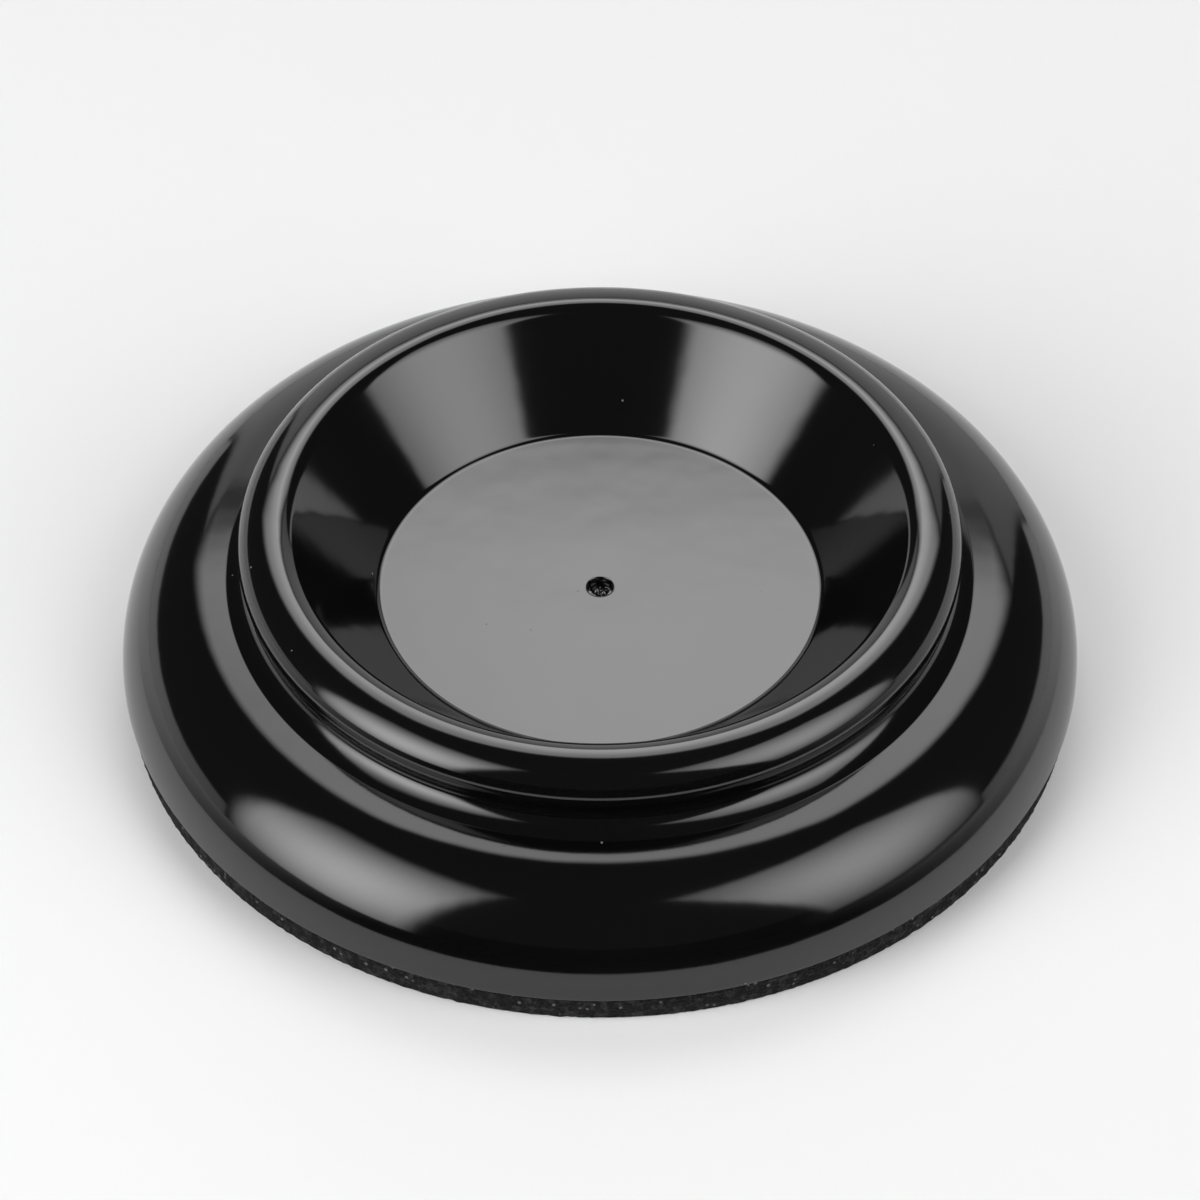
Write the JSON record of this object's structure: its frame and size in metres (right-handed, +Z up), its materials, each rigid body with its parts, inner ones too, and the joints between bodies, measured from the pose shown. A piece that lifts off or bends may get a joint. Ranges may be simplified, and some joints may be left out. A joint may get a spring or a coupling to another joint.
{
  "type": "piano caster cup",
  "caption": "Round gloss black caster cup: conical bowl with a flat floor, beaded rim, drawn-in neck, bulging foot and a foam pad underneath.",
  "frame": {"origin": "centre of the foam pad's underside, on the surface that the cup stands on", "axes": "+Z up along the cup's axis, out of the bowl"},
  "size_m": [0.1, 0.1, 0.0217],
  "materials": {
    "shell_plastic": "gloss black injection-moulded ABS",
    "film": "dark double-sided adhesive film",
    "pad_foam": "black closed-cell EVA foam with a die-cut edge"
  },
  "bodies": {
    "root": {"cup_shell": "shell_plastic", "adhesive_film": "film", "foam_pad": "pad_foam"}
  },
  "joints": []
}
